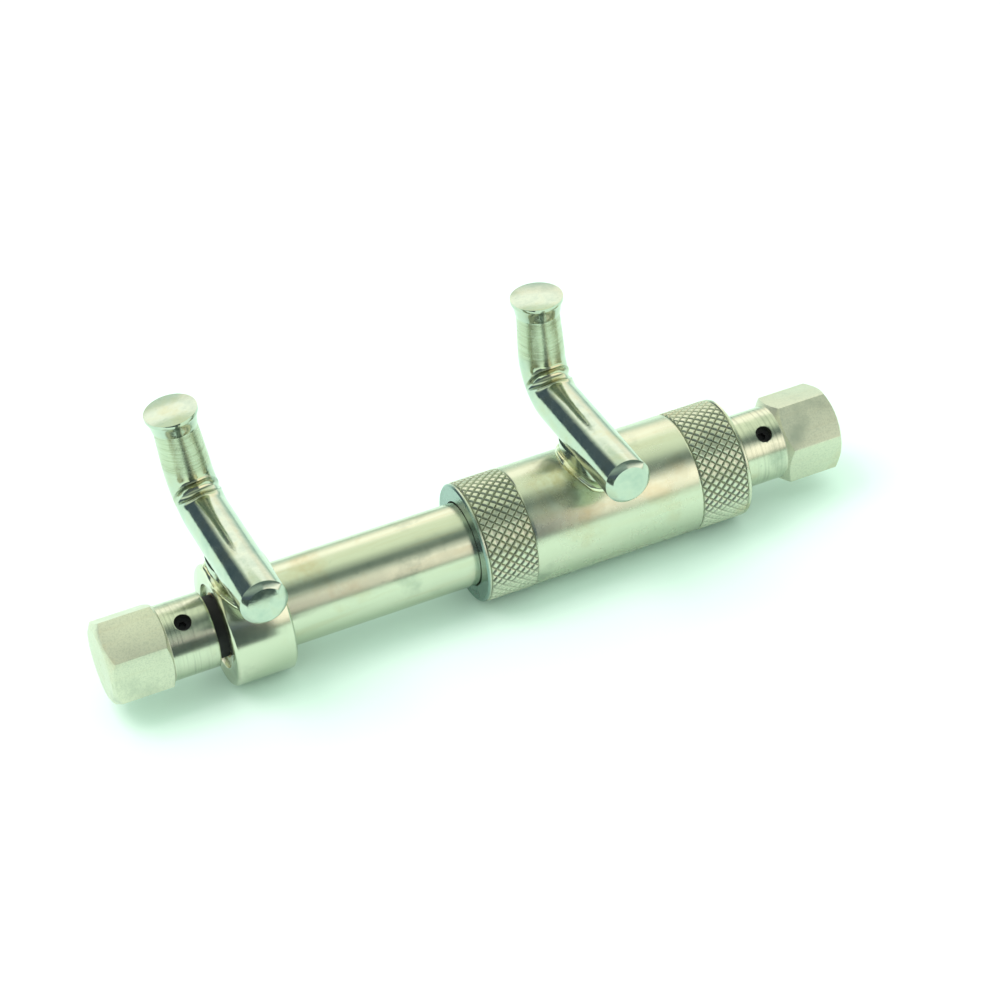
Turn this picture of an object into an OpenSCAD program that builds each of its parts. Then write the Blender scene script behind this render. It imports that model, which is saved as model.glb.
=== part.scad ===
// Adjustable two-arm spindle: hex-ended spindle turning in a plain tube, one arm brazed to
// a collar on the tube, the other brazed to a knurled sleeve that slides and turns on it.
// +X runs along the spindle, +Z is up, the arms reach back along +Y and then up.

/* [Spindle] */
// Length over both hex ends
overall_len = 166; // [160:1:184]
// Hex across flats
hex_af = 17; // [16.5:0.5:20]
// Length of each hex
hex_len = 13.5; // [11:0.5:17]
// Round neck behind each hex
neck_d = 16; // [13:0.5:16.5]
// Length of each neck
neck_len = 9.5; // [8:0.5:12]
// Inner rod joining the two ends
rod_d = 10; // [7:0.5:10]
// Radial screw hole in each neck
screw_hole_d = 3.6; // [2.5:0.1:4.5]
// Left hex turned about the axis
left_turn = 58; // [0:1:60]
// Right hex turned about the axis
right_turn = 14; // [0:1:60]
// Left screw hole turned forward from straight up
left_screw_turn = 31; // [0:1:90]
// Right screw hole turned forward from straight up
right_screw_turn = 38; // [0:1:90]

/* [Tube and collar] */
// Outside of the slide tube
tube_d = 18; // [16.5:0.5:19]
// Wall of the slide tube
tube_wall = 2; // [1.5:0.1:2.5]
// Width of the arm collar
collar_w = 13; // [11.5:0.5:16]
// Gap left at each neck for the thrust washer
washer_gap = 1.8; // [1.2:0.1:2.6]

/* [Sleeve] */
// Outside of sleeve and collar
sleeve_d = 26; // [25:0.5:32]
// Length of the sliding sleeve
sleeve_len = 61.5; // [50:0.5:70]
// Width of each knurled band
knurl_w = 11.5; // [8:0.5:15]
// Wall of the liner inside the sleeve
liner_wall = 1.7; // [1.4:0.1:1.9]

/* [Arms] */
// Arm rod
arm_d = 10; // [8:0.5:11]
// Reach of the arm in front of the spindle axis
arm_front = 23.2; // [18:0.2:27]
// Reach of the arm behind the spindle axis, to the upright
arm_back = 18.5; // [16:0.5:24]
// Height of the head face above the spindle axis
arm_top = 41.5; // [39:0.5:52]
// Sideways lean of the left arm's upright, in degrees
left_arm_lean = 5.5; // [0:0.5:8]
// Middle radius of the bend
bend_r = 8; // [7:0.5:10]
// Mushroom head
head_d = 11.2; // [10.5:0.1:14]
// Length of the seat under each arm
seat_len = 16; // [12:0.5:18]
// Width of the seat under each arm
seat_w = 9.6; // [8:0.2:11]
// Seat thickness between sleeve and arm rod
seat_t = 1.2; // [0.6:0.1:2]

/* [Hidden] */
$fn = 96;
fn_hex = 6;
eps = 0.01;

// clearances
run_c = 0.05;
slide_c = 0.05;
free_c = 0.3;
end_c = 0.1;

// spindle
end_x = overall_len / 2;
hex_x = end_x - hex_len;
neck_x = hex_x - neck_len;
corner_r = hex_af / 2 / cos(30);
hex_face_r = hex_af / 2 - 0.9;
hex_cone_r = corner_r + 0.6;
hex_cone = (hex_cone_r - hex_face_r) * tan(30);
socket_deep = neck_len + 6;
rod_half = neck_x + socket_deep - 0.5;
screw_back = 3.8;
screw_x = hex_x - screw_back;
screw_spot = 0.5;
screw_len = 1.2;

// tube and collar
tube_r = tube_d / 2;
tube_bore_r = tube_r - tube_wall;
tube_recess = 0.8;
collar_x = -neck_x + washer_gap;
tube_x0 = collar_x + tube_recess;
tube_x1 = neck_x - washer_gap - tube_recess;
bush_len = 14;
washer_r = 6.6;
collar_r = sleeve_d / 2;

// sleeve
sleeve_r = sleeve_d / 2;
sleeve_x1 = neck_x - 1.4;
sleeve_x0 = sleeve_x1 - sleeve_len;
lip_r = tube_r + free_c;
liner_r0 = tube_r + slide_c;
liner_r1 = tube_r + liner_wall;
pocket_r = liner_r1 + run_c;
lip_w = 3;
end_ring_w = 2.5;
liner_x0 = sleeve_x0 + lip_w + end_c;
liner_x1 = sleeve_x1 - end_ring_w - 0.5 - end_c;
groove_w = 1.3;
ring_r = 0.42;
ring_in = 12;
ring_x0 = liner_x0 + ring_in;
ring_x1 = liner_x1 - ring_in;

// arms
arm_r = arm_d / 2;
left_arm_x = collar_x + arm_r + 0.1;
right_arm_x = (sleeve_x0 + sleeve_x1) / 2 - 2;
arm_z = sleeve_r + seat_t + arm_r;
arm_chamfer = 1.1;
upright_z = arm_z + bend_r;
head_rim = 1;
head_cone = 3;
waist_r = arm_r - 0.4;
notch_w = 1.2;
notch_deep = 0.42 * arm_d;
braze_t = 0.8;
braze_w = 1.3;

module x_cyl(r, x0, x1) {
  translate([x0, 0, 0]) rotate([0, 90, 0]) cylinder(r = r, h = x1 - x0);
}

module x_cone(r0, r1, x0, x1) {
  translate([x0, 0, 0]) rotate([0, 90, 0]) cylinder(r1 = r0, r2 = r1, h = x1 - x0);
}

module x_tube(r_out, r_in, x0, x1) {
  difference() {
    x_cyl(r_out, x0, x1);
    x_cyl(r_in, x0 - 1, x1 + 1);
  }
}

// round bar with both rims broken
module x_bar(r, c, x0, x1) {
  x_cone(r - c, r, x0, x0 + c);
  x_cyl(r, x0 + c, x1 - c);
  x_cone(r, r - c, x1 - c, x1);
}

// hex and neck turned from one bar, neck end at the origin, hex towards +X
module hex_end(turn, screw_turn) {
  difference() {
    union() {
      x_cyl(neck_d / 2, 0, neck_len + eps);
      intersection() {
        translate([neck_len, 0, 0]) rotate([turn, 0, 0]) rotate([0, 90, 0])
          cylinder(r = corner_r, h = hex_len, $fn = fn_hex);
        union() {
          x_cone(hex_face_r, hex_cone_r, neck_len, neck_len + hex_cone);
          x_cyl(hex_cone_r, neck_len + hex_cone, neck_len + hex_len - hex_cone);
          x_cone(hex_cone_r, hex_face_r, neck_len + hex_len - hex_cone, neck_len + hex_len);
        }
      }
    }
    x_cyl(rod_d / 2, -1, socket_deep);
    translate([neck_len - screw_back, 0, 0]) rotate([screw_turn, 0, 0])
      cylinder(r = screw_hole_d / 2, h = neck_d);
  }
}

// point in a spot on the rod, hex socket outwards
module set_screw(screw_turn) {
  translate([neck_len - screw_back, 0, 0]) rotate([screw_turn, 0, 0])
    difference() {
      translate([0, 0, rod_d / 2 - screw_spot])
        cylinder(r = screw_hole_d / 2, h = screw_len + screw_spot);
      translate([0, 0, rod_d / 2 + 0.3])
        cylinder(r = screw_hole_d / 4, h = 3, $fn = fn_hex);
    }
}

module spindle_rod() {
  color("gainsboro") difference() {
    x_bar(rod_d / 2, 0.4, -rod_half, rod_half);
    for (spot = [[-screw_x, left_screw_turn], [screw_x, right_screw_turn]])
      translate([spot[0], 0, 0]) rotate([spot[1], 0, 0])
        translate([0, 0, rod_d / 2 - screw_spot])
          cylinder(r = screw_hole_d / 2, h = 3);
  }
}

module left_hex_end() {
  color("silver") translate([-neck_x, 0, 0]) mirror([1, 0, 0])
    hex_end(left_turn, left_screw_turn);
}

module right_hex_end() {
  color("silver") translate([neck_x, 0, 0]) hex_end(right_turn, right_screw_turn);
}

module left_set_screw() {
  color("dimgray") translate([-neck_x, 0, 0]) mirror([1, 0, 0])
    set_screw(left_screw_turn);
}

module right_set_screw() {
  color("dimgray") translate([neck_x, 0, 0]) set_screw(right_screw_turn);
}

module left_thrust_washer() {
  color("black") x_tube(washer_r, rod_d / 2, -neck_x, tube_x0 - end_c);
}

module right_thrust_washer() {
  color("black") x_tube(washer_r, rod_d / 2, tube_x1 + end_c, neck_x);
}

module slide_tube() {
  color("silver") difference() {
    x_cyl(tube_r, tube_x0, tube_x1);
    x_cyl(tube_bore_r, tube_x0 - 1, tube_x1 + 1);
  }
}

module arm_collar() {
  color("silver") difference() {
    x_bar(collar_r, 0.5, collar_x, collar_x + collar_w);
    x_cyl(tube_r, collar_x - 1, collar_x + collar_w + 1);
  }
}

module left_bush() {
  color("peru") x_tube(tube_bore_r, rod_d / 2 + run_c, tube_x0, tube_x0 + bush_len);
}

module right_bush() {
  color("peru") x_tube(tube_bore_r, rod_d / 2 + run_c, tube_x1 - bush_len, tube_x1);
}

// saddle between a round body of radius sleeve_r and the arm rod
// plan of the seat: widest under the rod's middle, drawn in at both ends
module seat_plan(w, l, h) {
  linear_extrude(height = h)
    polygon([[-0.15 * w, -0.56 * l], [0.15 * w, -0.56 * l], [0.5 * w, -0.14 * l], [0.5 * w, 0.14 * l],
             [0.26 * w, 0.44 * l], [-0.26 * w, 0.44 * l], [-0.5 * w, 0.14 * l], [-0.5 * w, -0.14 * l]]);
}

module arm_seat() {
  difference() {
    seat_plan(seat_w, seat_len, arm_z - arm_r + 2);
    x_cyl(sleeve_r, -seat_w, seat_w);
    translate([0, -seat_len, arm_z]) rotate([-90, 0, 0])
      cylinder(r = arm_r, h = 2 * seat_len);
  }
}

// raised filler round the foot of the seat, kept inside the width it sits on
module arm_braze(x_lo, x_hi) {
  difference() {
    intersection() {
      x_cyl(sleeve_r + braze_t, x_lo, x_hi);
      seat_plan(seat_w + 2 * braze_w, seat_len + 2 * braze_w, sleeve_r + braze_t);
    }
    x_cyl(sleeve_r, x_lo - 1, x_hi + 1);
    seat_plan(seat_w, seat_len, 2 * sleeve_r);
  }
}

// slot across the inner side of the bend, filled by the bead
module bend_slot(grow) {
  translate([0, arm_back - bend_r, upright_z]) rotate([-45, 0, 0])
    translate([0, bend_r, -notch_w / 2])
      intersection() {
        cylinder(r = arm_r + grow, h = notch_w);
        translate([-arm_d, -arm_d - arm_r + notch_deep, 0])
          cube([2 * arm_d, arm_d, notch_w]);
      }
}

module bent_rod() {
  difference() {
    union() {
      translate([0, -arm_front, arm_z]) rotate([-90, 0, 0])
        cylinder(r1 = arm_r - arm_chamfer, r2 = arm_r, h = arm_chamfer);
      translate([0, -arm_front + arm_chamfer, arm_z]) rotate([-90, 0, 0])
        cylinder(r = arm_r, h = arm_front + arm_back - bend_r - arm_chamfer);
      translate([0, arm_back - bend_r, upright_z]) rotate([0, 90, 0])
        rotate_extrude(angle = 90) translate([bend_r, 0]) circle(r = arm_r);
      translate([0, arm_back, upright_z])
        cylinder(r1 = arm_r, r2 = waist_r, h = arm_top - head_rim - head_cone - upright_z);
      translate([0, arm_back, arm_top - head_rim - head_cone])
        cylinder(r1 = waist_r, r2 = head_d / 2, h = head_cone);
      translate([0, arm_back, arm_top - head_rim])
        cylinder(r = head_d / 2, h = head_rim);
    }
    bend_slot(1);
  }
}

module left_arm_seat() {
  color("gold") translate([left_arm_x, 0, 0]) arm_seat();
}

// turn about the arm rod's own axis, away from the sleeve
module left_lean() {
  translate([left_arm_x, 0, arm_z]) rotate([0, -left_arm_lean, 0])
    translate([0, 0, -arm_z]) children();
}

module left_arm_rod() {
  color("lightgray") left_lean() bent_rod();
}

module left_arm_braze() {
  color("goldenrod") translate([left_arm_x, 0, 0])
    arm_braze(collar_x + 0.5 - left_arm_x, seat_w / 2 + braze_w);
}

module left_bend_braze() {
  color("goldenrod") left_lean() bend_slot(0.15);
}

module slide_liner() {
  color("ivory") difference() {
    x_cyl(liner_r1, liner_x0, liner_x1);
    x_cyl(liner_r0, liner_x0 - 1, liner_x1 + 1);
    for (x = [ring_x0, ring_x1])
      x_cyl(tube_r + 2 * ring_r + 0.1, x - groove_w / 2, x + groove_w / 2);
  }
}

module friction_ring(x) {
  translate([x, 0, 0]) rotate([0, 90, 0])
    rotate_extrude() translate([tube_r + ring_r + 0.04, 0]) circle(r = ring_r);
}

module left_friction_ring() {
  color("black") friction_ring(ring_x0);
}

module right_friction_ring() {
  color("black") friction_ring(ring_x1);
}

module grip_sleeve() {
  color("silver") difference() {
    x_bar(sleeve_r, 0.6, sleeve_x0, sleeve_x1);
    x_cyl(lip_r, sleeve_x0 - 1, sleeve_x1 + 1);
    x_cyl(pocket_r, sleeve_x0 + lip_w, sleeve_x1 + 1);
    // shallow run-out groove inside each knurled band
    for (x = [sleeve_x0 + knurl_w, sleeve_x1 - knurl_w])
      x_tube(sleeve_r + 1, sleeve_r - 0.15, x - 0.3, x + 0.3);
  }
}

module sleeve_end_ring() {
  color("gray") x_tube(pocket_r, lip_r, sleeve_x1 - end_ring_w - 0.5, sleeve_x1 - 0.5);
}

module right_arm_seat() {
  color("gold") translate([right_arm_x, 0, 0]) arm_seat();
}

module right_arm_rod() {
  color("lightgray") translate([right_arm_x, 0, 0]) bent_rod();
}

module right_arm_braze() {
  color("goldenrod") translate([right_arm_x, 0, 0])
    arm_braze(-seat_w / 2 - braze_w, seat_w / 2 + braze_w);
}

module right_bend_braze() {
  color("goldenrod") translate([right_arm_x, 0, 0]) bend_slot(0.15);
}

spindle_rod();
left_hex_end();
right_hex_end();
left_set_screw();
right_set_screw();
left_thrust_washer();
right_thrust_washer();
slide_tube();
arm_collar();
left_bush();
right_bush();
left_arm_seat();
left_arm_rod();
left_arm_braze();
left_bend_braze();
slide_liner();
left_friction_ring();
right_friction_ring();
grip_sleeve();
sleeve_end_ring();
right_arm_seat();
right_arm_rod();
right_arm_braze();
right_bend_braze();
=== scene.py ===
import math
import bpy
from mathutils import Matrix, Vector


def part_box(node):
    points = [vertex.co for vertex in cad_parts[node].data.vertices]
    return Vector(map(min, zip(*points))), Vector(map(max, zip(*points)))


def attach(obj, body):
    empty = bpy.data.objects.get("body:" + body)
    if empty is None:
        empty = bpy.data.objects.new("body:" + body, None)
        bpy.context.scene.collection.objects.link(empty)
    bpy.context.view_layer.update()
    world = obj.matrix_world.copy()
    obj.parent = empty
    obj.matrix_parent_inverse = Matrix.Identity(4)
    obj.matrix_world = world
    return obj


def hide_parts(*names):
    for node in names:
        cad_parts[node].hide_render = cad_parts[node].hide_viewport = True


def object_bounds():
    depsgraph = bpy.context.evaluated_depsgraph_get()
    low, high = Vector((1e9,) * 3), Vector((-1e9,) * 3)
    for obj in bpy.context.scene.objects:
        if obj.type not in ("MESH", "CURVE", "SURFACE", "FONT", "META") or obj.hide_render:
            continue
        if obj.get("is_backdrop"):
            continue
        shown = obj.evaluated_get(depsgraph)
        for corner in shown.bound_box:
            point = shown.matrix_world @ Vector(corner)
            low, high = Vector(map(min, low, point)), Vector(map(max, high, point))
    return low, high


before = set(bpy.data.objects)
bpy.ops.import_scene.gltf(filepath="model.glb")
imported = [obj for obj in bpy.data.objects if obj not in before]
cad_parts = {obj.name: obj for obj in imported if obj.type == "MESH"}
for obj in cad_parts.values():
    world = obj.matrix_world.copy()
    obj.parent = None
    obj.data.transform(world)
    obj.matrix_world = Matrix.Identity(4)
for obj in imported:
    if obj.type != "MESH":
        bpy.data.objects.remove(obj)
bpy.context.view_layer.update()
scene = bpy.context.scene
mm = 0.001


cameraView = {
    "place": (-0.16839, -0.46422, 0.36466),
    "azimuth": -20.61,
    "elevation": 35.73,
    "roll": -5.88,
    "lens": 105.5,
}


def addCamera():
    view = cameraView
    bpy.ops.object.camera_add(location=view["place"])
    camera = bpy.context.object
    turn = Matrix.Rotation(math.radians(view["azimuth"]), 4, "Z")
    tilt = Matrix.Rotation(math.radians(90 - view["elevation"]), 4, "X")
    roll = Matrix.Rotation(math.radians(view["roll"]), 4, "Z")
    camera.matrix_world = Matrix.Translation(view["place"]) @ turn @ tilt @ roll
    camera.data.lens = view["lens"]
    camera.data.sensor_width = 36
    camera.data.clip_start = 0.01
    camera.data.dof.use_dof = False
    scene.camera = camera


addCamera()
print("camera placed")


def clearSelection():
    if bpy.context.mode != "OBJECT":
        bpy.ops.object.mode_set(mode="OBJECT")
    bpy.ops.object.select_all(action="DESELECT")


def pick(obj):
    clearSelection()
    obj.select_set(True)
    bpy.context.view_layer.objects.active = obj


def applyPlace(obj):
    pick(obj)
    bpy.ops.object.transform_apply(location=True, rotation=True, scale=True)


def applyModifiers(obj):
    pick(obj)
    for modifier in list(obj.modifiers):
        bpy.ops.object.modifier_apply(modifier=modifier.name)


def fixNormals(obj, merge=0.000002):
    pick(obj)
    bpy.ops.object.mode_set(mode="EDIT")
    bpy.ops.mesh.select_all(action="SELECT")
    bpy.ops.mesh.remove_doubles(threshold=merge)
    bpy.ops.mesh.normals_make_consistent(inside=False)
    bpy.ops.object.mode_set(mode="OBJECT")


def bevelEdges(obj, width, segments=2, angle=30):
    bevel = obj.modifiers.new("edgeBreak", "BEVEL")
    bevel.width = width
    bevel.segments = segments
    bevel.limit_method = "ANGLE"
    bevel.angle_limit = math.radians(angle)
    bevel.use_clamp_overlap = True
    applyModifiers(obj)


def smoothFaces(obj, angle=30):
    pick(obj)
    bpy.ops.object.shade_smooth_by_angle(angle=math.radians(angle))


def cutWith(obj, tool, mode="DIFFERENCE"):
    cut = obj.modifiers.new("cut", "BOOLEAN")
    cut.operation = mode
    cut.solver = "EXACT"
    cut.object = tool
    applyModifiers(obj)
    bpy.data.objects.remove(tool, do_unlink=True)


def turned(name, rings, sides=96, ends="closed"):
    # a lathe: one circle carried along X and resized at each (x, radius)
    clearSelection()
    x, r = rings[0]
    bpy.ops.mesh.primitive_circle_add(vertices=sides, radius=r, location=(x, 0, 0),
                                      rotation=(0, math.pi / 2, 0))
    obj = bpy.context.object
    obj.name = name
    bpy.ops.object.mode_set(mode="EDIT")
    bpy.ops.mesh.select_all(action="SELECT")
    if ends == "closed":
        bpy.ops.mesh.edge_face_add()
    for nextX, nextR in rings[1:]:
        if ends == "closed":
            bpy.ops.mesh.extrude_region_move(TRANSFORM_OT_translate={"value": (nextX - x, 0, 0)})
        else:
            bpy.ops.mesh.extrude_edges_move(TRANSFORM_OT_translate={"value": (nextX - x, 0, 0)})
        scale = nextR / r
        bpy.ops.transform.resize(value=(1, scale, scale), center_override=(nextX, 0, 0))
        x, r = nextX, nextR
    bpy.ops.object.mode_set(mode="OBJECT")
    applyPlace(obj)
    fixNormals(obj)
    return obj


def bar(name, radius, x0, x1, sides=96):
    return turned(name, [(x0, radius), (x1, radius)], sides)


def finishPiece(obj, body, nodes, material):
    obj.data.materials.clear()
    obj.data.materials.append(material)
    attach(obj, body)
    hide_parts(*nodes)


def newMaterial(name, color, metallic, roughness):
    material = bpy.data.materials.new(name)
    material.use_nodes = True
    tree = material.node_tree
    shader = tree.nodes["Principled BSDF"]
    shader.inputs["Base Color"].default_value = (*color, 1)
    shader.inputs["Metallic"].default_value = metallic
    shader.inputs["Roughness"].default_value = roughness
    return material, tree, shader


def objectCoords(tree, scale=(1, 1, 1), turn=(0, 0, 0)):
    coords = tree.nodes.new("ShaderNodeTexCoord")
    mapping = tree.nodes.new("ShaderNodeMapping")
    mapping.inputs["Scale"].default_value = scale
    mapping.inputs["Rotation"].default_value = turn
    tree.links.new(coords.outputs["Object"], mapping.inputs["Vector"])
    return mapping.outputs["Vector"]


def noise(tree, vector, scale, detail=4, rough=0.55):
    node = tree.nodes.new("ShaderNodeTexNoise")
    node.inputs["Scale"].default_value = scale
    node.inputs["Detail"].default_value = detail
    node.inputs["Roughness"].default_value = rough
    tree.links.new(vector, node.inputs["Vector"])
    return node.outputs["Fac"]


def ramp(tree, fac, stops):
    node = tree.nodes.new("ShaderNodeValToRGB")
    band = node.color_ramp
    band.elements[0].position = stops[0][0]
    band.elements[1].position = stops[-1][0]
    for at, color in stops[1:-1]:
        band.elements.new(at)
    for element, (at, color) in zip(band.elements, stops):
        element.color = (*color, 1)
    tree.links.new(fac, node.inputs["Fac"])
    return node.outputs["Color"]


def spread(tree, fac, low, high, fromLow=0.0, fromHigh=1.0):
    node = tree.nodes.new("ShaderNodeMapRange")
    node.inputs["From Min"].default_value = fromLow
    node.inputs["From Max"].default_value = fromHigh
    node.inputs["To Min"].default_value = low
    node.inputs["To Max"].default_value = high
    tree.links.new(fac, node.inputs["Value"])
    return node.outputs["Result"]


def bump(tree, shader, height, strength, distance):
    node = tree.nodes.new("ShaderNodeBump")
    node.inputs["Strength"].default_value = strength
    node.inputs["Distance"].default_value = distance
    tree.links.new(height, node.inputs["Height"])
    tree.links.new(node.outputs["Normal"], shader.inputs["Normal"])


def mathNode(tree, operation, first, second):
    node = tree.nodes.new("ShaderNodeMath")
    node.operation = operation
    for socket, value in zip(node.inputs, (first, second)):
        if isinstance(value, (int, float)):
            socket.default_value = value
        else:
            tree.links.new(value, socket)
    return node.outputs["Value"]


def addUp(tree, first, second, weight):
    node = tree.nodes.new("ShaderNodeMath")
    node.operation = "MULTIPLY_ADD"
    node.inputs[1].default_value = weight
    tree.links.new(second, node.inputs[0])
    tree.links.new(first, node.inputs[2])
    return node.outputs["Value"]


nickelLook = {
    "clean": (0.60, 0.62, 0.49),
    "warm": (0.55, 0.50, 0.34),
    "dull": (0.40, 0.44, 0.35),
    "scorch": (0.50, 0.46, 0.27),
    "ringShade": (0.26, 0.29, 0.23),
    # painted shade: dark tone laid on the sleeve's left end face
    "paintedEndShade": (0.26, 0.36, 0.33),
    # darker tone for the knurl's groove floors
    "darkerInGrooves": (0.14, 0.16, 0.12),
}


def near(tree, place, reach):
    # 1 at the place, fading to 0 at the reach
    coords = tree.nodes.new("ShaderNodeTexCoord")
    gap = tree.nodes.new("ShaderNodeVectorMath")
    gap.operation = "DISTANCE"
    gap.inputs[1].default_value = place
    tree.links.new(coords.outputs["Object"], gap.inputs[0])
    return spread(tree, gap.outputs["Value"], 1, 0, reach * 0.35, reach)


def times(tree, first, second):
    return mathNode(tree, "MULTIPLY", first, second)


def blendColor(tree, fac, first, second):
    node = tree.nodes.new("ShaderNodeMix")
    node.data_type = "RGBA"
    tree.links.new(fac, node.inputs["Factor"])
    tree.links.new(first, node.inputs["A"])
    if isinstance(second, tuple):
        node.inputs["B"].default_value = (*second, 1)
    else:
        tree.links.new(second, node.inputs["B"])
    return node.outputs["Result"]


def axisMask(tree, axis, start, full):
    # 0 before the start, 1 after the full mark, along one axis of the object
    coords = tree.nodes.new("ShaderNodeTexCoord")
    split = tree.nodes.new("ShaderNodeSeparateXYZ")
    tree.links.new(coords.outputs["Object"], split.inputs["Vector"])
    return spread(tree, split.outputs[axis], 0, 1, start, full)


def nickel(name, rough, grain, grainDepth, stain=0.5, heat=None, face=None, streak=0.0,
           rings=0.0, metallic=1.0, speckle=0.0, groove=None):
    # plated steel: cloudy colour, uneven polish and a tool grain stretched along one way
    look = nickelLook
    material, tree, shader = newMaterial(name, look["clean"], metallic, rough[0])
    plain = objectCoords(tree)
    clouds = noise(tree, plain, 70, 5, 0.6)
    color = ramp(tree, clouds, [(0.28, look["dull"]), (0.42, look["clean"]), (0.56, look["clean"]),
                                (0.80 - 0.1 * stain, look["warm"])])
    specks = noise(tree, plain, 900, 4, 0.7)
    color = blendColor(tree, spread(tree, specks, 0, 0.75, 0.64, 0.74), color, look["dull"])
    if speckle:
        fine = noise(tree, plain, 2600, 3, 0.8)
        color = blendColor(tree, spread(tree, fine, 0, speckle, 0.46, 0.62), color, look["dull"])
    if streak:
        run = noise(tree, objectCoords(tree, (25, 420, 420)), 1, 4, 0.6)
        color = blendColor(tree, spread(tree, run, 0, streak, 0.52, 0.68), color, look["warm"])
    if rings:
        cut = noise(tree, objectCoords(tree, (1500, 30, 30)), 1, 4, 0.7)
        color = blendColor(tree, spread(tree, cut, 0, rings, 0.50, 0.66), color, look["ringShade"])
    if heat:
        tint = noise(tree, plain, 330, 4, 0.6)
        amount = times(tree, near(tree, *heat), spread(tree, tint, 0.1, 0.75, 0.38, 0.62))
        color = blendColor(tree, amount, color, look["scorch"])
    # painted shade: past the given X mark the end face turns darker, standing in for the shadow and dark
    # reflection it shows
    if face:
        color = blendColor(tree, axisMask(tree, *face), color, look["paintedEndShade"])
    # the knurl's colour is made darker towards the groove floors, by distance from the axis
    if groove:
        reach = tree.nodes.new("ShaderNodeVectorMath")  # distance from the spindle's axis
        reach.operation = "LENGTH"
        tree.links.new(objectCoords(tree, (0, 1, 1)), reach.inputs[0])
        amount = spread(tree, reach.outputs["Value"], 0.6, 0, *groove)
        color = blendColor(tree, amount, color, look["darkerInGrooves"])
    tree.links.new(color, shader.inputs["Base Color"])
    patches = noise(tree, plain, 160, 6, 0.65)
    tree.links.new(spread(tree, patches, rough[0], rough[1], 0.35, 0.7), shader.inputs["Roughness"])
    lines = noise(tree, objectCoords(tree, grain), 1, 2, 0.5)
    pits = noise(tree, plain, 1400, 2, 0.5)
    bump(tree, shader, addUp(tree, lines, pits, 0.35), 0.35, grainDepth)
    return material


armLook = {
    "clean": (0.52, 0.58, 0.49),
    "dull": (0.42, 0.50, 0.43),
    "warm": (0.52, 0.54, 0.40),
    "cutLow": (0.36, 0.38, 0.27),
    "cutMiddle": (0.50, 0.54, 0.40),
    "cutHigh": (0.56, 0.61, 0.48),
    "crease": (0.58, 0.56, 0.36),
    "creaseReach": 4.2 * mm,
    "speck": (0.36, 0.41, 0.36),
    "peelDepth": 0.04 * mm,
}


def armFinish():
    # polished along the rod, ringed by a file above the bend
    look = armLook
    material, tree, shader = newMaterial("armNickel", look["clean"], 1.0, 0.12)
    plain = objectCoords(tree)
    above = times(tree, axisMask(tree, "Z", 0.0270, 0.0290), axisMask(tree, "Z", 0.0377, 0.0374))
    clouds = noise(tree, plain, 180, 5, 0.6)
    polished = ramp(tree, clouds, [(0.3, look["dull"]), (0.5, look["clean"]), (0.72, look["warm"])])
    rings = noise(tree, objectCoords(tree, (160, 160, 4600)), 1, 4, 0.6)
    filed = ramp(tree, rings, [(0.32, look["cutLow"]), (0.5, look["cutMiddle"]), (0.68, look["cutHigh"])])
    color = blendColor(tree, above, polished, filed)
    for crease in arm["creasePlaces"]:
        amount = times(tree, near(tree, crease, look["creaseReach"]), spread(tree, clouds, 0.4, 1, 0.35, 0.6))
        color = blendColor(tree, amount, color, look["crease"])
    specks = noise(tree, plain, 1300, 4, 0.7)
    color = blendColor(tree, spread(tree, specks, 0, 0.6, 0.60, 0.72), color, look["speck"])
    tree.links.new(color, shader.inputs["Base Color"])
    rough = noise(tree, plain, 420, 5, 0.6)
    base = spread(tree, rough, 0.09, 0.2, 0.35, 0.7)
    tree.links.new(addUp(tree, base, above, 0.11), shader.inputs["Roughness"])
    peel = noise(tree, plain, 1100, 4, 0.6)
    height = addUp(tree, peel, times(tree, rings, above), 2.2)
    bump(tree, shader, height, 0.35, look["peelDepth"])
    return material


tubeNickel = nickel("tubeNickel", rough=(0.17, 0.27), grain=(60, 1100, 1100), grainDepth=0.014 * mm,
                    streak=0.5)
collarNickel = nickel("collarNickel", rough=(0.14, 0.24), grain=(900, 300, 300), grainDepth=0.014 * mm,
                      heat=((-0.0575, -0.005, 0.0125), 0.009))
# the face entry paints shade onto the sleeve's left end face
sleeveNickel = nickel("sleeveNickel", rough=(0.21, 0.32), grain=(60, 1100, 1100), grainDepth=0.014 * mm,
                      heat=((0.0205, -0.005, 0.0125), 0.0105), face=("X", -0.0022, -0.0027), streak=0.25)
neckNickel = nickel("neckNickel", rough=(0.17, 0.27), grain=(2600, 50, 50), grainDepth=0.009 * mm, rings=0.4)
hexNickel = nickel("hexNickel", rough=(0.30, 0.44), grain=(140, 2200, 2200), grainDepth=0.03 * mm,
                   stain=0.6, streak=0.3, metallic=0.72, speckle=0.5)
knurlNickel = nickel("knurlNickel", rough=(0.30, 0.42), grain=(900, 900, 900), grainDepth=0.02 * mm,
                     groove=(0.01270, 0.01292))


def brazeMetal():
    material, tree, shader = newMaterial("brazeMetal", (0.66, 0.60, 0.36), 1.0, 0.3)
    plain = objectCoords(tree)
    patches = noise(tree, plain, 300, 5, 0.6)
    color = ramp(tree, patches, [(0.30, (0.34, 0.31, 0.16)), (0.42, (0.62, 0.58, 0.33)),
                                 (0.54, (0.74, 0.73, 0.52)), (0.70, (0.68, 0.71, 0.60))])
    tree.links.new(color, shader.inputs["Base Color"])
    tree.links.new(spread(tree, patches, 0.36, 0.12, 0.35, 0.62), shader.inputs["Roughness"])
    bump(tree, shader, noise(tree, plain, 900, 4, 0.6), 0.4, 0.00006)
    return material


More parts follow.
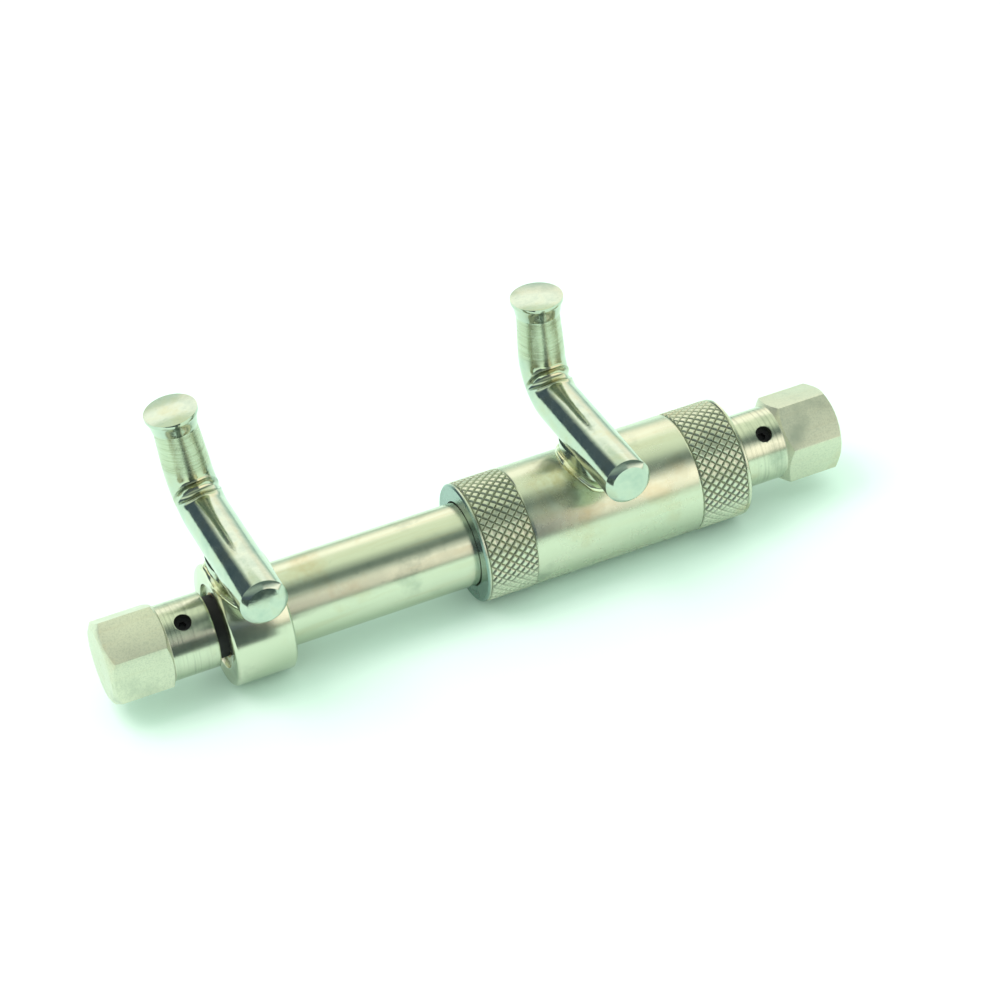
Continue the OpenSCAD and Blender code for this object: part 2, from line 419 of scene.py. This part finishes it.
def plainFinish(name, color, metallic, roughness, scale, depth):
    material, tree, shader = newMaterial(name, color, metallic, roughness)
    plain = objectCoords(tree)
    cloud = noise(tree, plain, scale, 4, 0.6)
    darker = tuple(c * 0.75 for c in color)
    lighter = tuple(min(1, c * 1.15) for c in color)
    tree.links.new(ramp(tree, cloud, [(0.3, darker), (0.7, lighter)]), shader.inputs["Base Color"])
    uneven = spread(tree, cloud, roughness * 0.8, min(1, roughness * 1.25), 0.3, 0.7)
    tree.links.new(uneven, shader.inputs["Roughness"])
    bump(tree, shader, cloud, 0.4, depth)
    return material


brazeFinish = brazeMetal()
screwBlack = plainFinish("screwBlack", (0.015, 0.015, 0.018), 0.6, 0.45, 900, 0.00002)
# near-black thrust washers: partly the washer's own black, partly painted shade for the dark gap between neck
# and collar
washerBlackGapShade = plainFinish("washerBlackGapShade", (0.008, 0.008, 0.01), 0.0, 0.55, 600, 0.00003)
linerWhite = plainFinish("linerWhite", (0.78, 0.76, 0.69), 0.0, 0.45, 300, 0.00002)
bushBronze = plainFinish("bushBronze", (0.50, 0.33, 0.16), 1.0, 0.42, 900, 0.00003)
ringRubber = plainFinish("ringRubber", (0.018, 0.018, 0.018), 0.0, 0.6, 700, 0.00002)
groundSteel = nickel("groundSteel", rough=(0.2, 0.3), grain=(2200, 60, 60), grainDepth=0.02 * mm)
print("materials made")


def keepNode(node, material):
    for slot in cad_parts[node].material_slots:
        slot.material = material


keptFinishes = {
    "spindle_rod": groundSteel,
    "left_set_screw": screwBlack,
    "right_set_screw": screwBlack,
    "left_thrust_washer": washerBlackGapShade,
    "right_thrust_washer": washerBlackGapShade,
    "left_bush": bushBronze,
    "right_bush": bushBronze,
    "slide_liner": linerWhite,
    "left_friction_ring": ringRubber,
    "right_friction_ring": ringRubber,
    "sleeve_end_ring": groundSteel,
}
for node, material in keptFinishes.items():
    keepNode(node, material)
print("kept pieces finished")


hexEnd = {
    "acrossFlats": 17 * mm,
    "length": 13.5 * mm,
    "neckRadius": 8 * mm,
    "socketRadius": 5 * mm,
    "socketDepth": 15.5 * mm,
    "holeRadius": 1.8 * mm,
    "holeFromHex": 3.8 * mm,
    "faceRadius": 7.6 * mm,
    "markRadius": 0.55 * mm,
    "edgeBreak": 0.12 * mm,
    "neckRings": 24,
}


def makeHexEnd(name, node, side, hexTurn, holeTurn):
    part = hexEnd
    low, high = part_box(node)
    outer = low.x if side < 0 else high.x
    neckEnd = high.x if side < 0 else low.x
    hexStart = outer - side * part["length"]
    corner = part["acrossFlats"] / 2 / math.cos(math.pi / 6)
    clearSelection()
    bpy.ops.mesh.primitive_cylinder_add(vertices=6, radius=corner, depth=part["length"],
                                        location=((outer + hexStart) / 2, 0, 0), rotation=(0, math.pi / 2, 0))
    head = bpy.context.object
    head.name = name
    applyPlace(head)
    head.rotation_euler = (math.radians(hexTurn), 0, 0)
    applyPlace(head)
    wide = corner + 0.6 * mm
    run = (wide - part["faceRadius"]) * math.tan(math.pi / 6)
    a, b = sorted((outer, hexStart))
    face = part["faceRadius"]
    cone = turned("coneCut", [(a, face), (a + run, wide), (b - run, wide), (b, face)], 128)
    cutWith(head, cone, "INTERSECT")
    a, b = sorted((neckEnd, hexStart + side * 2 * mm))
    steps = part["neckRings"]
    neck = turned("neck", [(a + (b - a) * i / steps, part["neckRadius"]) for i in range(steps + 1)], 128)
    cutWith(head, neck, "UNION")
    socketEnd = neckEnd + side * part["socketDepth"]
    a, b = sorted((neckEnd - side * 1 * mm, socketEnd))
    cutWith(head, bar("socket", part["socketRadius"], a, b, 64))
    clearSelection()
    holeX = hexStart - side * part["holeFromHex"]
    angle = math.radians(holeTurn)
    middle = Vector((holeX, -math.sin(angle) * 7 * mm, math.cos(angle) * 7 * mm))
    bpy.ops.mesh.primitive_cylinder_add(vertices=48, radius=part["holeRadius"], depth=8 * mm,
                                        location=middle, rotation=(angle, 0, 0))
    cutWith(head, bpy.context.object)
    markRings = [(outer + side * 0.3 * mm, part["markRadius"]), (outer - side * 0.25 * mm, 0.02 * mm)]
    cutWith(head, turned("centreMark", sorted(markRings), 24))
    fixNormals(head)
    bevelEdges(head, part["edgeBreak"], 2, 20)
    smoothFaces(head, 25)
    finishPiece(head, "spindle", [node], hexNickel)
    head.data.materials.append(neckNickel)
    for polygon in head.data.polygons:
        if side * (polygon.center.x - hexStart) < -0.01 * mm:
            polygon.material_index = 1


makeHexEnd("leftHexEnd", "left_hex_end", -1, 28, 31)
makeHexEnd("rightHexEnd", "right_hex_end", 1, 44, 38)
print("hex ends made")


tube = {
    "bore": 7 * mm,
    "chamfer": 0.3 * mm,
    "collarBore": 9 * mm,
    "collarChamfer": 0.5 * mm,
}


def hollowTurned(name, radius, bore, x0, x1, chamfer, sides=128):
    rings = [(x0, radius - chamfer), (x0 + chamfer, radius), (x1 - chamfer, radius), (x1, radius - chamfer)]
    outer = turned(name, rings, sides)
    cutWith(outer, bar("bore", bore, x0 - 1 * mm, x1 + 1 * mm, sides))
    fixNormals(outer)
    return outer


def makeTube():
    low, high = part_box("slide_tube")
    pipe = hollowTurned("slideTube", high.z, tube["bore"], low.x, high.x, tube["chamfer"])
    smoothFaces(pipe)
    finishPiece(pipe, "tube", ["slide_tube"], tubeNickel)


def makeCollar():
    low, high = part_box("arm_collar")
    collar = hollowTurned("armCollar", high.z, tube["collarBore"], low.x, high.x, tube["collarChamfer"])
    bevelEdges(collar, 0.12 * mm, 2)
    smoothFaces(collar)
    finishPiece(collar, "tube", ["arm_collar"], collarNickel)


makeTube()
makeCollar()
print("tube and collar made")


grip = {
    "bore": 9.3 * mm,
    "pocket": 10.75 * mm,
    "lip": 3 * mm,
    "plainEdge": 0.9 * mm,
    "band": 11.5 * mm,
    "around": 42,
    "along": 5,
    "grooveDepth": 0.30 * mm,
    "grooveSide": 0.31 * mm,
    "wall": 0.5 * mm,
    "endBreak": 0.45 * mm,
    "rimDrop": 0.1 * mm,
}


def knurlBand(name, radius, x0, x1):
    # squares poked at their centres, old edges dissolved, each diamond inset and raised
    base = radius - grip["grooveDepth"]
    step = (x1 - x0) / grip["along"]
    rows = [(x0 + step * i, base) for i in range(grip["along"] + 1)]
    band = turned(name, rows, grip["around"], ends="open")
    pick(band)
    old = len(band.data.vertices)
    bpy.ops.object.mode_set(mode="EDIT")
    bpy.ops.mesh.select_all(action="SELECT")
    bpy.ops.mesh.poke()
    bpy.ops.object.mode_set(mode="OBJECT")
    for vertex in band.data.vertices[old:]:
        stretch = base / math.hypot(vertex.co.y, vertex.co.z)
        vertex.co.y *= stretch
        vertex.co.z *= stretch
    faceCount = {}
    for polygon in band.data.polygons:
        for key in polygon.edge_keys:
            faceCount[key] = faceCount.get(key, 0) + 1
    for polygon in band.data.polygons:
        polygon.select = False
    for vertex in band.data.vertices:
        vertex.select = False
    for edge in band.data.edges:
        inner = faceCount.get(tuple(sorted(edge.vertices)), 0) == 2
        edge.select = inner and edge.vertices[0] < old and edge.vertices[1] < old
    bpy.ops.object.mode_set(mode="EDIT")
    bpy.ops.mesh.select_mode(type="EDGE")
    bpy.ops.mesh.dissolve_edges(use_verts=False)
    bpy.ops.mesh.select_mode(type="FACE")
    bpy.ops.mesh.select_all(action="SELECT")
    bpy.ops.mesh.normals_make_consistent(inside=False)
    bpy.ops.mesh.inset(thickness=grip["grooveSide"], depth=grip["grooveDepth"],
                       use_individual=True, use_even_offset=True)
    # both open rims go inward and meet, so the band is a closed ring
    bpy.ops.mesh.select_mode(type="EDGE")
    bpy.ops.mesh.select_all(action="DESELECT")
    bpy.ops.mesh.select_non_manifold(extend=False, use_wire=False, use_multi_face=False,
                                     use_non_contiguous=False, use_verts=False)
    bpy.ops.mesh.extrude_edges_move(TRANSFORM_OT_translate={"value": (0, 0, 0)})
    inward = 1 - grip["wall"] / base
    bpy.ops.transform.resize(value=(1, inward, inward), center_override=((x0 + x1) / 2, 0, 0))
    bpy.ops.mesh.bridge_edge_loops()
    bpy.ops.mesh.select_all(action="SELECT")
    bpy.ops.mesh.normals_make_consistent(inside=False)
    bpy.ops.object.mode_set(mode="OBJECT")
    return band


def makeSleeve():
    low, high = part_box("grip_sleeve")
    radius = high.z
    under = radius - grip["grooveDepth"] - 0.03 * mm
    edge = grip["plainEdge"]
    band = grip["band"]
    x0, x1 = low.x, high.x
    half = [(0, radius - grip["endBreak"]), (0.3 * mm, radius - grip["rimDrop"]),
            (edge * 0.75, radius - grip["rimDrop"]), (edge, under), (band, under),
            (band + 0.25 * mm, radius - 0.12 * mm), (band + 0.6 * mm, radius - 0.05 * mm)]
    rings = [(x0 + along, r) for along, r in half] + [(x1 - along, r) for along, r in reversed(half)]
    sleeve = turned("gripSleeve", rings, 168)
    cutWith(sleeve, bar("bore", grip["bore"], x0 - 1 * mm, x1 + 1 * mm, 128))
    cutWith(sleeve, bar("pocket", grip["pocket"], x0 + grip["lip"], x1 + 1 * mm, 128))
    fixNormals(sleeve)
    smoothFaces(sleeve)
    finishPiece(sleeve, "sleeve", ["grip_sleeve"], sleeveNickel)
    for name, a, b in (("leftKnurl", x0 + edge, x0 + band), ("rightKnurl", x1 - band, x1 - edge)):
        knurl = knurlBand(name, radius, a, b)
        finishPiece(knurl, "sleeve", ["grip_sleeve"], knurlNickel)


makeSleeve()
print("grip sleeve made")


arm = {
    "radius": 5 * mm,
    "front": 23.2 * mm,
    "back": 18.5 * mm,
    "height": 19.2 * mm,
    "bend": 8 * mm,
    "top": 41.5 * mm,
    "leftLean": 5.5,
    "chamfer": 1.15 * mm,
    "waist": 4.6 * mm,
    "head": 5.6 * mm,
    "rim": 0.9 * mm,
    "cone": 3.0 * mm,
    "creaseHalf": 1.75 * mm,
    "creaseDepth": 1.15 * mm,
    "lip": 0.14 * mm,
    "creasePlaces": [(-0.0537, 0.0128, 0.0252), (0.02585, 0.0128, 0.0252)],
}


def armCircle(name, x):
    part = arm
    clearSelection()
    bpy.ops.mesh.primitive_circle_add(vertices=96, radius=part["radius"] - part["chamfer"], fill_type="NGON",
                                      location=(x, -part["front"], part["height"]),
                                      rotation=(math.pi / 2, 0, 0))
    obj = bpy.context.object
    obj.name = name
    return obj


armNickel = armFinish()


def liftRing(step, scale, center):
    bpy.ops.mesh.extrude_region_move(TRANSFORM_OT_translate={"value": step})
    if scale != 1:
        across = (scale, scale, 1) if step[2] else (scale, 1, scale)
        bpy.ops.transform.resize(value=across, center_override=center)


def creaseBend(obj, x):
    # pinch the inside of the bend: a lens-shaped hollow with raised lips
    part = arm
    centreY = part["back"] - part["bend"]
    centreZ = part["height"] + part["bend"]
    for vertex in obj.data.vertices:
        dy = vertex.co.y - centreY
        dz = vertex.co.z - centreZ
        if dy < -0.2 * mm or dz > 0.2 * mm:
            continue
        reach = math.hypot(dy, dz)
        inner = (part["bend"] - reach) / part["radius"]
        along = (math.atan2(dy, -dz) - math.pi / 4) * max(reach, 3.4 * mm)
        share = max(0.0, (inner + 0.12) / 1.12)
        if share <= 0:
            continue
        half = part["creaseHalf"] * share ** 0.6
        middle = Vector((x, centreY + dy / reach * part["bend"], centreZ + dz / reach * part["bend"]))
        toMiddle = middle - vertex.co
        if toMiddle.length < 1e-6:
            continue
        toMiddle.normalize()
        ratio = abs(along) / half
        if ratio < 1:
            vertex.co += toMiddle * part["creaseDepth"] * share ** 0.8 * (1 - ratio ** 2)
        lip = math.exp(-((abs(along) - half) / (0.28 * mm)) ** 2)
        vertex.co -= toMiddle * part["lip"] * lip * share ** 0.5


def leanOver(obj, x, lean):
    # turn about the lower rod's own axis
    if not lean:
        return
    pivot = Matrix.Translation((x, 0, arm["height"]))
    obj.matrix_world = pivot @ Matrix.Rotation(math.radians(-lean), 4, "Y") @ pivot.inverted()
    applyPlace(obj)


def makeArm(name, node, body, x, lean=0):
    part = arm
    rod = armCircle(name, x)
    bpy.ops.object.mode_set(mode="EDIT")
    bpy.ops.mesh.select_all(action="SELECT")
    h = part["height"]
    y = -part["front"] + part["chamfer"]
    liftRing((0, part["chamfer"], 0), part["radius"] / (part["radius"] - part["chamfer"]), (x, y, h))
    straight = part["back"] - part["bend"] - y
    for i in range(3):
        y += straight / 3
        liftRing((0, straight / 3, 0), 1, (x, y, h))
    bpy.ops.mesh.spin(steps=90, angle=math.pi / 2, center=(x, y, h + part["bend"]), axis=(-1, 0, 0))
    z = h + part["bend"]
    y = part["back"]
    coneStart = part["top"] - part["rim"] - part["cone"]
    waistShare = part["waist"] / part["radius"]
    liftRing((0, 0, (coneStart - z) * 0.5), (1 + waistShare) / 2 * 1.002, (x, y, z))
    liftRing((0, 0, (coneStart - z) * 0.5), waistShare / ((1 + waistShare) / 2 * 1.002), (x, y, z))
    liftRing((0, 0, 0.15 * mm), 1.04, (x, y, coneStart))
    radius = part["waist"] * 1.04
    flare = [(0.9 * mm, 4.93 * mm), (1.0 * mm, 5.14 * mm), (0.95 * mm, 5.36 * mm)]
    for rise, wide in flare + [(0.08 * mm, part["head"]), (part["rim"] - 0.08 * mm, part["head"])]:
        liftRing((0, 0, rise), wide / radius, (x, y, coneStart))
        radius = wide
    bpy.ops.object.mode_set(mode="OBJECT")
    applyPlace(rod)
    fixNormals(rod)
    creaseBend(rod, x)
    leanOver(rod, x, lean)
    bevelEdges(rod, 0.14 * mm, 2, 28)
    smoothFaces(rod, 24)
    finishPiece(rod, body, [node], armNickel)
    return rod


leftX = (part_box("left_arm_seat")[0].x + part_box("left_arm_seat")[1].x) / 2
rightX = (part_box("right_arm_seat")[0].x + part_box("right_arm_seat")[1].x) / 2
makeArm("leftArmRod", "left_arm_rod", "tube", leftX, arm["leftLean"])
makeArm("rightArmRod", "right_arm_rod", "sleeve", rightX)
print("arm rods made")


def makeBendBead(name, node, body, x, lean=0):
    # filler run into the crease, thick in the middle and thin at both ends
    part = arm
    centreY = part["back"] - part["bend"]
    centreZ = part["height"] + part["bend"]
    half = math.sin(math.pi / 4)
    middle = Vector((x, centreY + part["bend"] * half, centreZ - part["bend"] * half))
    ringRadius = part["radius"] - 0.95 * mm
    clearSelection()
    bpy.ops.mesh.primitive_torus_add(major_radius=ringRadius, minor_radius=0.8 * mm, major_segments=96,
                                     minor_segments=24, location=middle, rotation=(math.pi / 4, 0, 0))
    bead = bpy.context.object
    bead.name = name
    applyPlace(bead)
    inward = Vector((0, -half, half))
    sideways = Vector((1, 0, 0))
    for vertex in bead.data.vertices:
        out = vertex.co - middle
        turn = math.atan2(out.dot(sideways), out.dot(inward))
        spine = middle + (inward * math.cos(turn) + sideways * math.sin(turn)) * ringRadius
        share = max(0.12, math.cos(turn * 0.86)) if abs(turn) < 1.8 else 0.12
        wave = 1 + 0.10 * math.sin(turn * 7 + x * 900)
        vertex.co = spine + (vertex.co - spine) * share * wave
    bpy.ops.object.mode_set(mode="EDIT")
    bpy.ops.mesh.select_all(action="SELECT")
    bpy.ops.mesh.bisect(plane_co=middle + inward * 0.4 * mm, plane_no=-inward,
                        use_fill=True, clear_outer=True)
    bpy.ops.object.mode_set(mode="OBJECT")
    leanOver(bead, x, lean)
    fixNormals(bead)
    smoothFaces(bead, 50)
    finishPiece(bead, body, [node], brazeFinish)


makeBendBead("leftBendBraze", "left_bend_braze", "tube", leftX, arm["leftLean"])
makeBendBead("rightBendBraze", "right_bend_braze", "sleeve", rightX)


seat = {
    "halfWidth": 4.75 * mm,
    "front": 8.9 * mm,
    "back": 7.0 * mm,
    "bodyRadius": 13 * mm,
    "top": 16.2 * mm,
}


def makeSeat(name, node, body, x):
    part = seat
    clearSelection()
    middle = (part["back"] - part["front"]) / 2
    bpy.ops.mesh.primitive_cylinder_add(vertices=96, radius=1, depth=part["top"],
                                        location=(x, middle, part["top"] / 2),
                                        scale=(part["halfWidth"], (part["back"] + part["front"]) / 2, 1))
    block = bpy.context.object
    block.name = name
    applyPlace(block)
    cutWith(block, bar("under", part["bodyRadius"], x - 10 * mm, x + 10 * mm, 128))
    clearSelection()
    bpy.ops.mesh.primitive_cylinder_add(vertices=96, radius=arm["radius"], depth=30 * mm,
                                        location=(x, 0, arm["height"]), rotation=(math.pi / 2, 0, 0))
    cutWith(block, bpy.context.object)
    fixNormals(block)
    bevelEdges(block, 0.35 * mm, 3, 40)
    smoothFaces(block, 35)
    finishPiece(block, body, [node], armNickel)


makeSeat("leftArmSeat", "left_arm_seat", "tube", leftX)
makeSeat("rightArmSeat", "right_arm_seat", "sleeve", rightX)


def makeBraze(name, node, body, x, xLow, xHigh):
    # a bead run round the seat's foot, melted together by a remesh
    part = seat
    halfW = part["halfWidth"] + 0.1 * mm
    halfL = (part["back"] + part["front"]) / 2 + 0.1 * mm
    middle = (part["back"] - part["front"]) / 2
    dense = []
    for step in range(90):
        turn = math.radians(step * 4)
        px = min(max(halfW * math.cos(turn), xLow - x + 0.65 * mm), xHigh - x - 0.65 * mm)
        dense.append((px, middle + halfL * math.sin(turn)))
    clearSelection()
    bpy.ops.curve.primitive_bezier_circle_add()
    curve = bpy.context.object
    curve.data.splines.clear()
    spline = curve.data.splines.new("POLY")
    spline.points.add(len(dense) - 1)
    spline.use_cyclic_u = True
    for i, (point, (px, py)) in enumerate(zip(spline.points, dense)):
        swell = 1 + 0.10 * math.sin(i * 0.31) + 0.06 * math.sin(i * 0.83 + 1)
        surface = math.sqrt(part["bodyRadius"] ** 2 - py ** 2)
        point.co = (x + px, py, surface + 0.05 * mm, 1)
        point.radius = swell
    curve.data.bevel_depth = 0.95 * mm
    curve.data.bevel_resolution = 4
    bpy.ops.object.convert(target="MESH")
    braze = bpy.context.object
    braze.name = name
    applyPlace(braze)
    remesh = braze.modifiers.new("melt", "REMESH")
    remesh.mode = "VOXEL"
    remesh.voxel_size = 0.16 * mm
    smooth = braze.modifiers.new("flow", "SMOOTH")
    smooth.factor = 0.5
    smooth.iterations = 12
    applyModifiers(braze)
    fixNormals(braze)
    pick(braze)
    bpy.ops.object.shade_smooth()
    finishPiece(braze, body, [node], brazeFinish)


collarLow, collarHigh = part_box("arm_collar")
makeBraze("leftArmBraze", "left_arm_braze", "tube", leftX, collarLow.x, collarHigh.x)
makeBraze("rightArmBraze", "right_arm_braze", "sleeve", rightX, rightX - 20 * mm, rightX + 20 * mm)
print("seats and braze made")


studio = {
    # angle about the spindle's axis: 0 level behind, 90 overhead, 180 level in front
    "left": [(0, (0.50, 0.68, 0.60)), (8, (0.75, 0.95, 0.85)), (25, (1.00, 1.10, 0.90)),
             (60, (1.05, 1.18, 0.95)), (85, (1.00, 1.14, 0.92)), (97, (0.34, 0.43, 0.36)),
             (115, (0.11, 0.16, 0.15)), (130, (0.48, 0.60, 0.53)), (144, (0.28, 0.36, 0.34)),
             (155, (0.12, 0.16, 0.20)), (180, (0.11, 0.15, 0.19))],
    "right": [(0, (0.50, 0.68, 0.60)), (8, (0.72, 0.92, 0.82)), (24, (1.50, 1.42, 1.22)),
              (40, (1.45, 1.38, 1.18)), (54, (1.10, 1.24, 1.00)), (84, (1.04, 1.18, 0.95)),
              (98, (0.78, 0.92, 0.74)), (111, (0.22, 0.30, 0.27)), (125, (0.13, 0.19, 0.17)),
              (135, (0.90, 0.96, 0.86)), (146, (1.75, 1.68, 1.50)), (168, (1.55, 1.48, 1.30)),
              (177, (0.60, 0.66, 0.54)), (180, (0.30, 0.38, 0.32))],
    "darkScreen": (0.09, 0.13, 0.16),
    "softbox": (1.62, 1.62, 1.46),
    "fill": (1.46, 1.57, 1.36),  # what lights the floor, even all round
    "behindFloor": (0.90, 1.10, 1.00),
    "floorSize": 8,
    "flagPlace": (-0.140, -0.075),
    "flagSize": (0.22, 0.044),
    "flagLift": 0.022,
}


def addFloor():
    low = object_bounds()[0]
    clearSelection()
    bpy.ops.mesh.primitive_plane_add(size=studio["floorSize"], location=(0, 0, low[2]))
    floor = bpy.context.object
    floor.name = "floor"
    material = newMaterial("paleFloor", (0.62, 0.81, 0.77), 0.0, 0.8)[0]
    floor.data.materials.append(material)
    floor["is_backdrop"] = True


def addWorld():
    world = bpy.data.worlds.new("studio")
    scene.world = world
    world.use_nodes = True
    tree = world.node_tree
    background = tree.nodes["Background"]
    coords = tree.nodes.new("ShaderNodeTexCoord")
    split = tree.nodes.new("ShaderNodeSeparateXYZ")
    tree.links.new(coords.outputs["Generated"], split.inputs["Vector"])
    x, y, z = (split.outputs[axis] for axis in ("X", "Y", "Z"))
    turn = mathNode(tree, "ARCTAN2", z, y)
    share = spread(tree, turn, 0, 1, 0, math.pi)
    left, right = (ramp(tree, share, [(angle / 180, tone) for angle, tone in studio[side]])
                   for side in ("left", "right"))
    color = blendColor(tree, spread(tree, x, 0, 1, 0.19, 0.245), left, right)
    behind = spread(tree, y, 0, 1, 0.35, 0.5)
    box = times(tree, spread(tree, x, 0, 1, -0.30, -0.14), spread(tree, x, 1, 0, 0.44, 0.56))
    box = times(tree, box, spread(tree, z, 0, 1, 0.38, 0.48))
    box = times(tree, box, times(tree, behind, spread(tree, z, 1, 0, 0.68, 0.74)))
    color = blendColor(tree, box, color, studio["softbox"])
    screen = times(tree, spread(tree, x, 1, 0, -0.42, -0.24), behind)
    color = blendColor(tree, screen, color, studio["darkScreen"])
    tree.links.new(color, background.inputs["Color"])
    background.inputs["Strength"].default_value = 1.0
    path = tree.nodes.new("ShaderNodeLightPath")
    seen = background
    for name, ray, first in (("fill", "Is Glossy Ray", True), ("behindFloor", "Is Camera Ray", False)):
        even = tree.nodes.new("ShaderNodeBackground")
        even.inputs["Color"].default_value = (*studio[name], 1)
        choose = tree.nodes.new("ShaderNodeMixShader")
        tree.links.new(path.outputs[ray], choose.inputs[0])
        tree.links.new((even if first else seen).outputs[0], choose.inputs[1])
        tree.links.new((seen if first else even).outputs[0], choose.inputs[2])
        seen = choose
    tree.links.new(seen.outputs[0], tree.nodes["World Output"].inputs["Surface"])


def addLamp(name, place, target, size, power, color):
    clearSelection()
    bpy.ops.object.light_add(type="AREA", location=place)
    lamp = bpy.context.object
    lamp.name = name
    lamp.data.shape = "RECTANGLE"
    lamp.data.size = size[0]
    lamp.data.size_y = size[1]
    lamp.data.energy = power
    lamp.data.color = color
    lamp.visible_glossy = False
    toTarget = Vector(target) - Vector(place)
    lamp.rotation_euler = toTarget.to_track_quat("-Z", "Y").to_euler()


def addFlag():
    # a dark card low in front of the left end, met only by reflections
    clearSelection()
    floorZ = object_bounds()[0][2]
    bpy.ops.mesh.primitive_plane_add(size=1, location=(*studio["flagPlace"], floorZ + studio["flagLift"]),
                                     rotation=(math.pi / 2, 0, 0))
    flag = bpy.context.object
    flag.name = "darkFlag"
    flag.scale = (*studio["flagSize"], 1)
    applyPlace(flag)
    material = newMaterial("darkFlag", (0.05, 0.07, 0.08), 0.0, 0.9)[0]
    flag.data.materials.append(material)
    flag.visible_camera = False
    flag.visible_diffuse = False
    flag.visible_shadow = False
    flag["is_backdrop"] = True


addFloor()
addWorld()
addFlag()
addLamp("topSoftbox", place=(-0.41, 0.13, 0.80), target=(0, 0, 0), size=(0.55, 0.55), power=4,
        color=(1.0, 0.70, 0.80))
scene.view_settings.view_transform = "Standard"
scene.view_settings.look = "None"
print("floor and light set")
